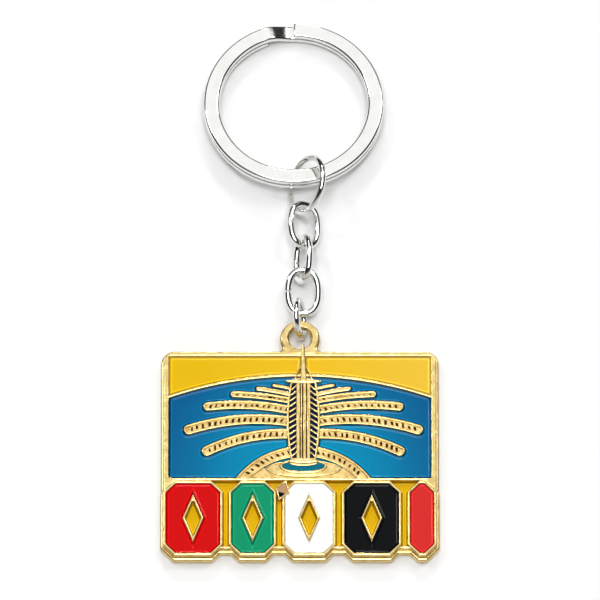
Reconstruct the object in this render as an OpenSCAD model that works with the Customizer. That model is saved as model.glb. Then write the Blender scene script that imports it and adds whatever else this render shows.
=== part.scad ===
// Souvenir keychain: a cast charm with enamel fills, a short chain and a split ring.
// It lies on its back on a flat surface. +X is to the right, +Y runs from the charm to the
// split ring, and +Z points up out of the charm's front face. Millimetres.

/* [Charm] */
// Width of the charm's front face
charm_w = 45; // [44:0.5:48]
// Height from the lower edge of the tiles to the top border
charm_h = 36.3; // [36:0.1:38]
// Thickness from the back to the top of the raised lines
charm_t = 2.5; // [2.3:0.1:3]
// Thickness of the back step, which stands out around the front face
step_t = 1.2; // [1:0.1:1.4]
// How far the back step stands out past the front face
step_out = 0.45; // [0.2:0.05:0.6]
// Corner radius of the front face
corner_r = 1.6; // [1:0.1:2.5]
// Width of the raised border
border_w = 0.85; // [0.6:0.05:1.2]
// Width of the thin raised lines between the enamel fills
line_w = 0.5; // [0.4:0.05:0.7]

/* [Eyelet] */
// Outer diameter of the eyelet's front
eyelet_d = 6.15; // [5.8:0.05:6.3]
// Diameter of the hole in the eyelet
eyelet_hole_d = 3.6; // [3.5:0.1:4]
// Height of the hole's centre above the charm's top border
eyelet_rise = 2.45; // [2.3:0.05:2.6]
// Thickness of the eyelet, which is flush with the front
eyelet_t = 0.9; // [0.6:0.1:0.9]

/* [Tower relief] */
// Widest width of the tower
tower_w = 5.5; // [4.5:0.1:6]
// Offset of the tower from the charm's centre line
tower_x = 0.55; // [0:0.05:1]
// Height of the tower's relief above the raised lines
tower_rise = 0.4; // [0.2:0.05:0.5]
// Number of floors with windows
tower_floors = 12; // [8:1:14]

/* [Chain] */
// Outside length of a chain link
link_l = 8.6; // [8.6:0.1:8.8]
// Outside width of a chain link
link_w = 6.2; // [6.1:0.1:6.3]
// Wire diameter of a chain link
link_wire = 1.2; // [1:0.05:1.2]
// Outside diameter of the jump ring at the charm
lower_ring_d = 7.1; // [7:0.05:7.2]
// Wire diameter of the jump ring at the charm
lower_ring_wire = 1.05; // [0.9:0.05:1.1]
// Outside diameter of the jump ring at the split ring
upper_ring_d = 10.4; // [10.3:0.1:10.6]
// Wire diameter of the jump ring at the split ring
upper_ring_wire = 1.05; // [0.9:0.05:1.05]
// Width of the cut where a jump ring's ends meet
cut_w = 0.2; // [0.1:0.05:0.3]

/* [Split ring] */
// Outside diameter of the split ring
split_d = 30; // [30:0.5:32]
// Radial width of its flat wire
split_w = 2.65; // [2.3:0.05:2.65]
// Thickness of both turns together
split_t = 2.4; // [2:0.1:2.4]
// Gap between the two turns
turn_gap = 0.06; // [0.04:0.01:0.1]

/* [Hidden] */
$fn = 64;

// Colours
gold = "#e3c46e";
nickel = "#d9dadb";

// Levels of the recess floors and of the enamel in them
deep_floor = 0.9;
deep_top = 1.45;
cell_floor = 1.4;
cell_top = 2.1;
tile_top = 2.25;
window_floor = charm_t - 0.1;
window_top = charm_t + tower_rise - 0.15;

// Picture panel, with heights measured down from the top border
panel_w = charm_w - 2 * border_w;
divider_y = -22.5;
shoulder_y = -25.2;
horizon_mid_y = -4.2;
horizon_side_y = -8;
horizon_drop = horizon_mid_y - horizon_side_y;
horizon_r = (pow(panel_w / 2, 2) + pow(horizon_drop, 2)) / (2 * horizon_drop);
horizon_centre = [0, horizon_mid_y - horizon_r];

// Tower, spire and gallery
tower_base_y = -19.5;
tower_top_y = -5.4;
tower_mid_y = (tower_base_y + tower_top_y) / 2;
tower_h = tower_top_y - tower_base_y;
tower_belly = 0.65;
tower_side_r = (pow(tower_h / 2, 2) + pow(tower_belly, 2)) / (2 * tower_belly);
gallery_w = 6;
gallery_h = 0.75;
spire_tip_y = 1.2;
spire_w = 1.3;
spire_tip_w = 0.35;
pier_w = 1.7;
window_w = 1.2;
floor_h = (tower_h - 1.6) / tower_floors;

// Mound, plinth and lagoon under the tower
mound_centre_y = divider_y - 8;
mound_r = 13.7;
mound_band = 1.9;
plinth_y = -20.25;
plinth_size = [13, 4.4];
lagoon_size = [7.2, 2.7];

// Fronds from the tower's side outward: root height, tip reach, tip height, bow and width
FRONDS = [
    [-14.7, 15.9, -17.7, 1.0, 1.75],
    [-12.6, 18.9, -13.9, 1.1, 1.75],
    [-10.6, 15.8, -9.8, 0.65, 1.5],
    [-8.9, 11.5, -7.6, 0.25, 1.1],
    [-7.8, 7.5, -6.6, 0.1, 0.8],
    [-6.75, 4.9, -6.0, 0.05, 0.6]
];
frond_root_x = 1.5;
frond_tip_swell = 0.12;

// Tiles of the lower frieze, left to right
TILE_W = [9.9, 7.9, 8.9, 9.9, 4.9];
tile_h = charm_h + divider_y - line_w;
tile_gap = (charm_w + 0.2 - tile_x(5)) / 4;
tile_cut = 1.9;
tile_rim = 0.55;
window_gem = [2.6, 6.4];
ground_drop = 1.3;
ground_w = charm_w - 2;

// Lozenge that hangs on the divider between the second and third tiles, in two colours
lozenge_at = [-2.9, divider_y - 2.3];
lozenge_size = [2.5, 4];
lozenge_lean = 18;
lozenge_rim = 0.3;
lozenge_split_y = -0.45;

// Where each chain piece lies: place, then roll about Y and pitch about X.
// Its y is measured from the charm's top border.
LOWER_RING_AT = [0, 5.45, 3.5];
lower_ring_roll = 78;
LINK_AT = [[0.7, 22.47, 2.9], [0.5, 16.37, 2.88], [0.5, 10.49, 2.85]];
LINK_ROLL = [28, -65, 4];
LINK_PITCH = [0, 0, 8];
UPPER_RING_AT = [1.1, 29.12, 4.36];
upper_ring_roll = -55;
SPLIT_AT = [-1.05, 44.32, 2.3];
split_pitch = -4.2;

// The frame's origin is under the middle of the whole keychain
far_y = SPLIT_AT[1] + cos(split_pitch) * split_d / 2 - sin(split_pitch) * split_t / 2;
near_y = -charm_h - step_out;
mid_y = (far_y + near_y) / 2;

// ---- Helpers ----

// Left edge of tile i, before the gaps
function tile_x(i) = i == 0 ? 0 : tile_x(i - 1) + TILE_W[i - 1];

// Centre of a tile
function tile_at(i) = [
    tile_x(i) + TILE_W[i] / 2 + i * tile_gap - (charm_w + 0.2) / 2,
    divider_y - line_w - tile_h / 2
];

// Centre of the arc through p and q that bows up by rise
function arc_centre(p, q, rise) =
    let (span = norm(q - p), r = (span * span / 4 + rise * rise) / (2 * rise), u = (q - p) / span)
    (p + q) / 2 - (r - rise) * [-u[1], u[0]];

module at_frame() {
    translate([0, -mid_y, 0]) children();
}

module rounded_box(low, high, r) {
    translate([low[0] + r, low[1]]) square([high[0] - low[0] - 2 * r, high[1] - low[1]]);
    translate([low[0], low[1] + r]) square([high[0] - low[0], high[1] - low[1] - 2 * r]);
    for (x = [low[0] + r, high[0] - r], y = [low[1] + r, high[1] - r]) {
        translate([x, y]) circle(r);
    }
}

// Octagon with its four corners cut, grown outward by g
module cut_corner_box(size, cut, g = 0) {
    a = size[0] / 2 + g;
    b = size[1] / 2 + g;
    c = cut + g * (2 - sqrt(2));
    polygon([[a, b - c], [a - c, b], [c - a, b], [-a, b - c],
        [-a, c - b], [c - a, -b], [a - c, -b], [a, c - b]]);
}

// Pointed oval made of two arcs
module lens(size) {
    r = (pow(size[0] / 2, 2) + pow(size[1] / 2, 2)) / size[1];
    intersection() {
        translate([0, r - size[1] / 2]) circle(r, $fn = 128);
        translate([0, size[1] / 2 - r]) circle(r, $fn = 128);
    }
}

module gem(size, g = 0) {
    slope = norm(size) / size[1];
    a = size[0] / 2 + g * slope;
    b = a * size[1] / size[0];
    polygon([[a, 0], [0, b], [-a, 0], [0, -b]]);
}

// Everything on one side of the tower's centre line: side is -1 or 1
module half(side) {
    intersection() {
        children();
        translate([tower_x + (side < 0 ? -charm_w : 0), -charm_h]) square([charm_w, 2 * charm_h]);
    }
}

// A fill that stands from the floor of its recess to its own top
module fill(floor_z, top_z) {
    at_frame() translate([0, 0, floor_z]) linear_extrude(top_z - floor_z) children();
}

// ---- Outlines on the charm's face ----

// Outline of the whole charm but its eyelet, grown outward by g
module charm_outline(g = 0) {
    rounded_box([-charm_w / 2 - g, shoulder_y - g], [charm_w / 2 + g, g], corner_r + g);
    translate([-ground_w / 2, ground_drop - charm_h - g]) square([ground_w, charm_h / 2]);
    for (i = [0:4]) {
        translate(tile_at(i)) cut_corner_box([TILE_W[i], tile_h], tile_cut, g);
    }
}

// Large circle whose edge is the bowed left or right side of the tower
module tower_side(side) {
    translate([tower_x + side * (tower_w / 2 - tower_side_r), tower_mid_y])
        circle(tower_side_r, $fn = 256);
}

module tower_outline() {
    intersection() {
        tower_side(-1);
        tower_side(1);
        translate([tower_x - tower_w, tower_base_y]) square([2 * tower_w, tower_h]);
    }
    translate([tower_x, tower_top_y]) lens([gallery_w, gallery_h]);
}

module spire_outline() {
    translate([tower_x, 0]) polygon([[-spire_w / 2, tower_top_y], [spire_w / 2, tower_top_y],
        [spire_tip_w / 2, spire_tip_y], [-spire_tip_w / 2, spire_tip_y]]);
}

module frond_outline(f) {
    root = [frond_root_x, f[0]];
    tip = [f[1], f[2]];
    c = arc_centre(root, tip, f[3]);
    r = norm(tip - c);
    intersection() {
        translate(c) difference() {
            circle(r + f[4] / 2, $fn = 256);
            circle(r - f[4] / 2, $fn = 256);
        }
        polygon([c, c + 2 * (tip - c), c + 2 * (root - c)]);
    }
    translate(tip) circle(d = f[4] + frond_tip_swell);
}

module fronds_outline() {
    for (side = [0, 1], f = FRONDS) {
        translate([tower_x, 0]) mirror([side, 0]) frond_outline(f);
    }
}

module mound_outline() {
    translate([tower_x, mound_centre_y]) circle(mound_r, $fn = 128);
}

module panel() {
    translate([-panel_w / 2, divider_y]) square([panel_w, -divider_y - border_w]);
}

module sky_area() {
    difference() {
        panel();
        translate(horizon_centre) circle(horizon_r + line_w / 2, $fn = 256);
        spire_outline();
        tower_outline();
    }
}

module sea_area() {
    difference() {
        intersection() {
            panel();
            translate(horizon_centre) circle(horizon_r - line_w / 2, $fn = 256);
        }
        tower_outline();
        spire_outline();
        fronds_outline();
        mound_outline();
    }
}

module plinth_outline() {
    translate([tower_x, plinth_y]) lens(plinth_size);
}

module bay_area() {
    difference() {
        intersection() {
            translate([tower_x, mound_centre_y]) circle(mound_r - mound_band, $fn = 128);
            translate([-panel_w / 2, divider_y + line_w]) square([panel_w, charm_h]);
        }
        translate([tower_x, plinth_y]) scale(1.08) lens(plinth_size);
        translate([tower_x - tower_w / 2, divider_y]) square([tower_w, tower_h]);
    }
}

module lagoon_area() {
    difference() {
        translate([tower_x, plinth_y]) lens(lagoon_size);
        translate([tower_x - tower_w, tower_base_y - line_w]) square([2 * tower_w, tower_h]);
    }
}

// Windows on one side of the tower's centre pier
module windows_area(side) {
    for (i = [0:tower_floors - 1]) {
        y = tower_base_y + 0.8 + (i + 0.5) * floor_h;
        taper = tower_belly * pow(2 * (y - tower_mid_y) / tower_h, 2);
        w = window_w - 0.9 * taper;
        translate([tower_x + side * (pier_w / 2 + w / 2), y]) square([w, floor_h - 0.35], center = true);
    }
}

module lozenge_outline(g = 0) {
    translate(lozenge_at) rotate(-lozenge_lean) gem(lozenge_size, g);
}

// Part of the lozenge's recess between two heights, measured along the leaning lozenge
module lozenge_area(low, high) {
    span = lozenge_size[0];
    intersection() {
        lozenge_outline(-lozenge_rim);
        translate(lozenge_at) rotate(-lozenge_lean) translate([-span, low]) square([2 * span, high - low]);
    }
}

module tile_area(i) {
    difference() {
        translate(tile_at(i)) cut_corner_box([TILE_W[i], tile_h], tile_cut, -tile_rim);
        if (i < 4) {
            translate(tile_at(i)) gem(window_gem, tile_rim);
        }
        lozenge_outline();
    }
}

// Deep yellow ground between the tiles and in their gem windows
module ground_area() {
    difference() {
        translate([-ground_w / 2 + border_w, ground_drop - charm_h + tile_rim])
            square([ground_w - 2 * border_w, charm_h + divider_y - line_w - ground_drop - tile_rim]);
        for (i = [0:4]) {
            translate(tile_at(i)) cut_corner_box([TILE_W[i], tile_h], tile_cut);
        }
        lozenge_outline();
    }
    for (i = [0:3]) {
        translate(tile_at(i)) gem(window_gem);
    }
}

// ---- Charm ----

module eyelet() {
    top_z = charm_t;
    translate([0, eyelet_rise, top_z - eyelet_t]) difference() {
        union() {
            cylinder(d = eyelet_d, h = eyelet_t);
            cylinder(d = eyelet_d + 0.5, h = eyelet_t - 0.5);
        }
        translate([0, 0, -1]) cylinder(d = eyelet_hole_d, h = eyelet_t + 2);
    }
    foot = eyelet_d / 2 + 0.8;
    throat = eyelet_d / 2 - 0.35;
    translate([0, 0, top_z - eyelet_t]) linear_extrude(eyelet_t)
        difference() {
            polygon([[-foot, -border_w], [foot, -border_w], [throat, 1.1], [-throat, 1.1]]);
            translate([0, eyelet_rise]) circle(eyelet_d / 2 - 0.4);
        }
}

module charm_plate() {
    cut_h = charm_t + 1;
    color(gold) at_frame() {
        difference() {
            union() {
                linear_extrude(step_t) charm_outline(step_out);
                linear_extrude(charm_t) charm_outline();
                linear_extrude(charm_t + tower_rise) tower_outline();
            }
            translate([0, eyelet_rise, -1]) cylinder(d = eyelet_d - 0.8, h = cut_h + 1);
            translate([0, 0, cell_floor]) linear_extrude(cut_h) sky_area();
            translate([0, 0, cell_floor]) linear_extrude(cut_h) sea_area();
            translate([0, 0, cell_floor]) linear_extrude(cut_h) bay_area();
            translate([0, 0, cell_floor]) linear_extrude(cut_h) lagoon_area();
            translate([0, 0, cell_floor]) linear_extrude(cut_h) lozenge_outline(-lozenge_rim);
            translate([0, 0, deep_floor]) linear_extrude(cut_h) ground_area();
            translate([0, 0, window_floor]) linear_extrude(cut_h) windows_area(-1);
            translate([0, 0, window_floor]) linear_extrude(cut_h) windows_area(1);
            for (i = [0:4]) {
                translate([0, 0, cell_floor]) linear_extrude(cut_h) tile_area(i);
            }
        }
        eyelet();
        translate([0, 0, charm_t - 0.4]) linear_extrude(0.4 + tower_rise) spire_outline();
    }
}

module sky_enamel(side) {
    color("#f0bf17") fill(cell_floor, cell_top) half(side) sky_area();
}

module sea_enamel(side) {
    color("#0a72ad") fill(cell_floor, cell_top) half(side) sea_area();
}

module lagoon_enamel() {
    color("#06849e") fill(cell_floor, cell_top) lagoon_area();
}

module bay_enamel(side) {
    color("#1d7f92") fill(cell_floor, cell_top) half(side) bay_area();
}

module window_enamel(side) {
    color("#152a48") fill(window_floor, window_top) windows_area(side);
}

module ground_enamel() {
    color("#e8bb08") fill(deep_floor, deep_top) ground_area();
}

module tile_enamel(i, shade) {
    color(shade) fill(cell_floor, tile_top) tile_area(i);
}

module lozenge_enamel_black() {
    color("#171b23") fill(cell_floor, tile_top) lozenge_area(-lozenge_size[1], lozenge_split_y);
}

module lozenge_enamel_beige() {
    color("#ebc38b") fill(cell_floor, tile_top) lozenge_area(lozenge_split_y, lozenge_size[1]);
}

// ---- Chain ----

module laid(at, roll, pitch = 0) {
    color(nickel) at_frame() translate(at) rotate([pitch, 0, 0]) rotate([0, roll, 0]) children();
}

// Round ring of wire, cut through at the angle cut_at
module jump_ring(d, wire, cut_at) {
    r = (d - wire) / 2;
    cut_a = 2 * asin(cut_w / 2 / r);
    rotate(cut_at + cut_a / 2) rotate_extrude(angle = 360 - cut_a) translate([r, 0]) circle(d = wire);
}

// Oval link of wire with a fine closed cut in its left limb
module chain_link() {
    r = (link_w - link_wire) / 2;
    straight = link_l - link_w;
    difference() {
        union() {
            for (turn = [0, 180]) {
                rotate(turn) translate([0, straight / 2, 0]) rotate_extrude(angle = 180)
                    translate([r, 0]) circle(d = link_wire);
                rotate(turn) translate([r, 0, 0]) rotate([90, 0, 0])
                    cylinder(d = link_wire, h = straight, center = true);
            }
        }
        translate([-r, 0, 0]) cube([2 * link_wire, cut_w / 2, 2 * link_wire], center = true);
    }
}

module lower_jump_ring() {
    laid(LOWER_RING_AT, lower_ring_roll) jump_ring(lower_ring_d, lower_ring_wire, -40);
}

module placed_link(i) {
    laid(LINK_AT[i], LINK_ROLL[i], LINK_PITCH[i]) chain_link();
}

module upper_jump_ring() {
    laid(UPPER_RING_AT, upper_ring_roll) jump_ring(upper_ring_d, upper_ring_wire, 185);
}

// ---- Split ring ----

turn_t = (split_t - turn_gap) / 2;
turn_r = (split_d - split_w) / 2;
ramp_from = 340;
wire_end = 360 + ramp_from;
wire_step = 5;
bevel = 0.16;
SECTION = [
    for (q = [[1, 1], [-1, 1], [-1, -1], [1, -1]], k = [0, 1])
        let (along = q[0] * q[1] > 0 ? 1 - k : k)
        [q[0] * (split_w / 2 - (along == 0 ? bevel : 0)), q[1] * (turn_t / 2 - (along == 0 ? 0 : bevel))]
];

// The wire runs clockwise from its upper end, drops a turn's thickness past ramp_from,
// and goes once more round beneath itself: 1 is the upper turn and -1 the lower
function turn_level(a) = a <= ramp_from ? 1 : a >= 360 ? -1 : cos(180 * (a - ramp_from) / (360 - ramp_from));

function wire_section(a) = [
    for (s = SECTION)
        [(turn_r + s[0]) * sin(a), (turn_r + s[0]) * cos(a), turn_level(a) * (turn_t + turn_gap) / 2 + s[1]]
];

module split_ring() {
    sides = len(SECTION);
    last = wire_end / wire_step;
    points = [for (i = [0:last]) each wire_section(i * wire_step)];
    skin = [
        for (i = [0:last - 1], k = [0:sides - 1])
            let (a = i * sides + k, b = i * sides + (k + 1) % sides)
            each [[a, a + sides, b + sides], [a, b + sides, b]]
    ];
    start_cap = [for (k = [0:sides - 1]) k];
    end_cap = [for (k = [0:sides - 1]) last * sides + sides - 1 - k];
    laid(SPLIT_AT, 0, split_pitch)
        polyhedron(points, concat(skin, [start_cap, end_cap]), convexity = 6);
}

// ---- Nodes ----

charm_plate();
sky_enamel(-1);  // sky_enamel_left
sky_enamel(1);  // sky_enamel_right
sea_enamel(-1);  // sea_enamel_left
sea_enamel(1);  // sea_enamel_right
lagoon_enamel();
bay_enamel(-1);  // bay_enamel_left
bay_enamel(1);  // bay_enamel_right
window_enamel(-1);  // window_enamel_left
window_enamel(1);  // window_enamel_right
ground_enamel();
tile_enamel(0, "#d3100a");  // tile_enamel_red
tile_enamel(1, "#0e9a6c");  // tile_enamel_green
tile_enamel(2, "#fafaf6");  // tile_enamel_white
tile_enamel(3, "#10141d");  // tile_enamel_black
tile_enamel(4, "#e43936");  // tile_enamel_coral
lozenge_enamel_beige();
lozenge_enamel_black();
lower_jump_ring();
placed_link(2);  // chain_link_3
placed_link(1);  // chain_link_2
placed_link(0);  // chain_link_1
upper_jump_ring();
split_ring();
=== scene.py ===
"""Souvenir keychain: the looks of the cast charm, its enamel fills, the chain and the split ring."""
import math
import random
from collections import namedtuple

import bmesh
import bpy
import numpy as np
from mathutils import Matrix, Vector
from mathutils.geometry import tessellate_polygon


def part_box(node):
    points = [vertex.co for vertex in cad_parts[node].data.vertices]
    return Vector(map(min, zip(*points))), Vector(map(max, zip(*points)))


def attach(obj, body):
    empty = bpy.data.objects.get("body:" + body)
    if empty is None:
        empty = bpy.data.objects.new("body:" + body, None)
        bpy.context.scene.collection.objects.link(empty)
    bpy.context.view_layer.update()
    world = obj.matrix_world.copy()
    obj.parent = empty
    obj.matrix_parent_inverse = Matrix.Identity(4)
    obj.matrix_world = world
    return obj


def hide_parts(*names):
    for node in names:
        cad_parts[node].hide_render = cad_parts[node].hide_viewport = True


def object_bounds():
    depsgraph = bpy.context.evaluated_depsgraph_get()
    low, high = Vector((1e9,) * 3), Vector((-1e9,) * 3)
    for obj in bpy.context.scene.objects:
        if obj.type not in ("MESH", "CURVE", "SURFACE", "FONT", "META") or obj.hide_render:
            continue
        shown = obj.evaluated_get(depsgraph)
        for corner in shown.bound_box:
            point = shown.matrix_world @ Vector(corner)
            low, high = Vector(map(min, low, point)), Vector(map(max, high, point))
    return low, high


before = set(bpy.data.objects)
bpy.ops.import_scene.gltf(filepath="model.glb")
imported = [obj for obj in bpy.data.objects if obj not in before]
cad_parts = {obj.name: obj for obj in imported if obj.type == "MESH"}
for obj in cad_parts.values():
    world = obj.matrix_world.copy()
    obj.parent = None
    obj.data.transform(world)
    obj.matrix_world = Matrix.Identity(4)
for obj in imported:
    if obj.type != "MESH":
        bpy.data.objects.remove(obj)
cad_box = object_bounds()

# ---- Sizes in millimetres. On the charm, x is from its middle and y from its top border. ----
MM = 0.001
CHARM_W, CHARM_H, CHARM_T = 45.0, 36.3, 2.5
STEP_T, STEP_OUT = 1.2, 0.45
CORNER_R, BORDER_W, LINE_W = 1.6, 0.85, 0.5
PANEL_X = CHARM_W / 2 - BORDER_W
DIVIDER_Y, SHOULDER_Y = -22.5, -25.2
FIELD_X, FIELD_TOP, FIELD_LOW, FIELD_R = 20.5, -2.0, -33.6, 1.5    # sunk field of the back

# Heights above the back. Lines of the relief are CHARM_T high where no other height is given.
BACK_SUNK = 0.12
WALL_LOW, TOWER_WALL_LOW = 0.8, 2.2    # where walls start, inside the metal
CELL_LOW, CELL_LEVEL, TILE_LEVEL, GROUND_LEVEL = 1.3, 2.08, 2.24, 1.5
LAGOON_LEVEL, BAY_LEVEL = 2.3, 2.24
WINDOW_LOW, WINDOW_LEVEL = 2.3, 2.6
LOZENGE_TOP, LOZENGE_BEIGE_LEVEL, LOZENGE_BLACK_LEVEL = 2.78, 2.68, 2.64
PUNCHED_TOP, FOOT_STRIP_TOP = CHARM_T - 0.2, 2.3
MOUND_FIELD_TOP, PLINTH_TOP, PLINTH_RIM_TOP, LAGOON_RIM_TOP = 2.14, 2.28, 2.42, 2.52
TOWER_RIM_TOP, TOWER_BAR_TOP, TOWER_FOOT_TOP, TOWER_STEP_TOP = 2.84, 2.76, 2.74, 2.5
GALLERY_TOP, COLLAR_TOP, BRACE_TOP, MAST_LOW, MAST_TOP = 2.86, 2.7, 2.7, 2.1, 2.89

EYELET_D, EYELET_HOLE, EYELET_RISE = 6.15, 3.6, 2.45
EYELET_LOW, EYELET_STEP_TOP, EYELET_HOLE_STEP = 1.6, 2.06, 0.36

HORIZON_MID, HORIZON_SIDE = -4.2, -8.0
HORIZON_DROP = HORIZON_MID - HORIZON_SIDE
HORIZON_R = (PANEL_X ** 2 + HORIZON_DROP ** 2) / (2 * HORIZON_DROP)
HORIZON_C = (0.0, HORIZON_MID - HORIZON_R)

TOWER_X, TOWER_W, TOWER_BELLY = 0.55, 5.5, 0.65
TOWER_LOW, TOWER_TOP = -19.5, -5.4
TOWER_MID, TOWER_H = (TOWER_LOW + TOWER_TOP) / 2, TOWER_TOP - TOWER_LOW
TOWER_FLOORS = 12
PIER_W = 2.3
PIER_EDGE = TOWER_X + PIER_W / 2 - 0.1    # where windows and bars start, inside the pier
# Middle, width and top of each rib of the pier
PIER_RIBS = [(-0.86, 0.56, 2.84), (-0.33, 0.26, 2.78), (0.21, 0.5, 2.89), (0.86, 0.54, 2.84)]
SPIRE_TIP, SPIRE_W, SPIRE_TIP_W = 1.2, 1.3, 0.4

MOUND_C = (TOWER_X, DIVIDER_Y - 8)
MOUND_R, MOUND_BAND = 13.7, 1.9
PLINTH_C, PLINTH_SIZE = (TOWER_X, -20.85), (12.4, 3.0)
LAGOON_C, LAGOON_SIZE = (TOWER_X, -20.4), (6.9, 1.8)

# Fronds from the lowest up. The x of a tip is from the tower's centre line.
Frond = namedtuple("Frond", "root_y tip_x tip_y bow width")
PUNCHED_FRONDS = [
    Frond(-14.7, 15.9, -17.7, 1.0, 1.75),
    Frond(-12.6, 18.9, -13.9, 1.1, 1.75),
    Frond(-10.6, 15.8, -9.8, 0.65, 1.5),
    Frond(-8.9, 11.5, -7.6, 0.25, 1.1),
]
PLAIN_FRONDS = [Frond(-7.8, 7.5, -6.6, 0.1, 0.8), Frond(-6.75, 4.9, -6.0, 0.05, 0.6)]
FROND_ROOT_X, FROND_RIM = 1.5, 0.36
PIT_PITCH, PIT_W, PIT_DEPTH = 0.95, 0.4, 0.35

TILE_W = (9.9, 7.9, 8.9, 9.9, 4.9)
TILES, LAST_TILE = range(len(TILE_W)), len(TILE_W) - 1    # the last tile has no gem window
TILE_H = CHARM_H + DIVIDER_Y - LINE_W
TILE_TOP = DIVIDER_Y - LINE_W
TILES_W = CHARM_W + 0.2    # over all tiles and gaps
TILE_GAP = (TILES_W - sum(TILE_W)) / LAST_TILE
TILE_CUT, TILE_RIM = 1.9, 0.5
GEM = (2.6, 6.4)
GROUND_DROP = 1.3    # foot of the gaps above the tiles' feet

LOZENGE_C, LOZENGE_SIZE, LOZENGE_LEAN = (-2.9, DIVIDER_Y - 2.3), (2.5, 4.0), math.radians(18)
LOZENGE_RIM, LOZENGE_SPLIT = 0.3, -0.45

LINK_L, LINK_W, LINK_WIRE = 8.6, 6.2, 1.2
LOWER_RING_D, UPPER_RING_D, RING_WIRE, CUT_W = 7.1, 10.4, 1.05, 0.2
SPLIT_D, SPLIT_W, SPLIT_T, TURN_GAP = 30.0, 2.65, 2.4, 0.06
SPLIT_EDGE_R, SPLIT_PITCH = 0.46, -4.2

CHARM_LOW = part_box("charm_plate")[0]
CHARM_Y = CHARM_LOW.y / MM + CHARM_H + STEP_OUT    # the top border in the frame

CAST_SEED = 7
PAINTED_HIGHLIGHT_TONE = 1.45    # how much lighter the painted highlight makes enamel where it starts to climb


# ---- Outlines: lists of (x, y) ----

def rounded(corners, step=12):
    """Closed outline through corners (x, y, radius), with an arc at each radius."""
    outline = []
    for i, (x, y, r) in enumerate(corners):
        here = Vector((x, y))
        a = (Vector(corners[i - 1][:2]) - here).normalized()
        b = (Vector(corners[(i + 1) % len(corners)][:2]) - here).normalized()
        if r <= 0:
            outline.append((x, y))
            continue
        half = a.angle(b) / 2
        centre = here + (a + b).normalized() * r / math.sin(half)
        turn = math.pi - 2 * half
        start = here + a * r / math.tan(half) - centre
        hand = 1 if a.x * b.y - a.y * b.x < 0 else -1
        count = max(2, math.ceil(math.degrees(turn) / step))
        for k in range(count + 1):
            angle = hand * turn * k / count
            c, s = math.cos(angle), math.sin(angle)
            outline.append((centre.x + c * start.x - s * start.y, centre.y + s * start.x + c * start.y))
    return outline


def arc(centre, r, start, end, step=0.3):
    """Points along an arc from start to end, in radians, about step millimetres apart."""
    count = max(6, math.ceil(abs(end - start) * r / step))
    angles = [start + (end - start) * k / count for k in range(count + 1)]
    return [(centre[0] + r * math.cos(a), centre[1] + r * math.sin(a)) for a in angles]


def ellipse(centre, size, count=96):
    """Closed outline of an ellipse."""
    angles = [2 * math.pi * k / count for k in range(count)]
    return [(centre[0] + size[0] / 2 * math.cos(a), centre[1] + size[1] / 2 * math.sin(a)) for a in angles]


def moved_in(outline, inset):
    """The outline moved to its left by inset, with mitred corners."""
    p = np.array(outline)
    before, after = p - np.roll(p, 1, 0), np.roll(p, -1, 0) - p
    before /= np.linalg.norm(before, axis=1)[:, None]
    after /= np.linalg.norm(after, axis=1)[:, None]
    middle = before + after
    left = np.stack([-middle[:, 1], middle[:, 0]], 1)
    return p + inset * 2 * left / np.maximum((left ** 2).sum(1), 0.6)[:, None]


def wound(outline, clockwise=False):
    """The outline in the asked direction, without doubled points."""
    points = [p for i, p in enumerate(outline) if math.dist(p, outline[i - 1]) > 1e-4]
    area = sum(points[i - 1][0] * p[1] - p[0] * points[i - 1][1] for i, p in enumerate(points))
    return points[::-1] if (area < 0) != clockwise else points


def flipped(outline):
    """The outline mirrored across the tower's centre line."""
    return [(2 * TOWER_X - x, y) for x, y in outline]


# ---- Solids: each is (points, faces), in millimetres ----

def side(low, high, low_round=0.0, high_round=0.14, steps=4):
    """Insets and heights up the side of a solid whose lower and upper edges are rounded."""
    turns = [math.pi / 2 * k / steps for k in range(steps + 1)]
    foot = [(low_round * (1 - math.sin(a)), low + low_round * (1 - math.cos(a))) for a in turns]
    head = [(high_round * (1 - math.cos(a)), high - high_round * (1 - math.sin(a))) for a in turns]
    return (foot if low_round else [(0.0, low)]) + head


def raised(outlines, profile):
    """Closed solid on an outline with holes. Its sides follow profile, a list of (inset, height)."""
    points, faces, feet, heads = [], [], [], []
    for k, outline in enumerate(outlines):
        ring = wound(outline, clockwise=k > 0)
        count, start = len(ring), len(points)
        for inset, z in profile:
            points += [(x, y, z) for x, y in moved_in(ring, inset)]
        for level in range(len(profile) - 1):
            a = start + level * count
            for i in range(count):
                j = (i + 1) % count
                faces.append([a + i, a + j, a + count + j, a + count + i])
        feet.append(range(start, start + count))
        heads.append(range(len(points) - count, len(points)))
    for loops, up in ((heads, 1), (feet, -1)):
        index = [i for loop in loops for i in loop]
        flat = [[Vector((points[i][0], points[i][1], 0)) for i in loop] for loop in loops]
        for triangle in tessellate_polygon(flat):
            a, b, c = (index[i] for i in triangle)
            u, v = Vector(points[b]) - Vector(points[a]), Vector(points[c]) - Vector(points[a])
            faces.append([a, b, c] if u.cross(v).z * up > 0 else [a, c, b])
    return points, faces


def swept(stations, section):
    """Closed bar through stations (origin, across, up, scale), with a flat end at each side."""
    points, faces = [], []
    for origin, across, up, scale in stations:
        points += [tuple(origin + scale * (across * u + up * v)) for u, v in section]
    count = len(section)
    for a in range(0, len(points) - count, count):
        for i in range(count):
            j = (i + 1) % count
            faces.append([a + i, a + count + i, a + count + j, a + j])
    faces.append(list(range(count)))
    faces.append(list(range(len(points) - count, len(points)))[::-1])
    return points, faces


def smooth_step(t):
    """Eases from 0 to 1."""
    t = np.clip(t, 0, 1)
    return t * t * (3 - 2 * t)


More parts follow.
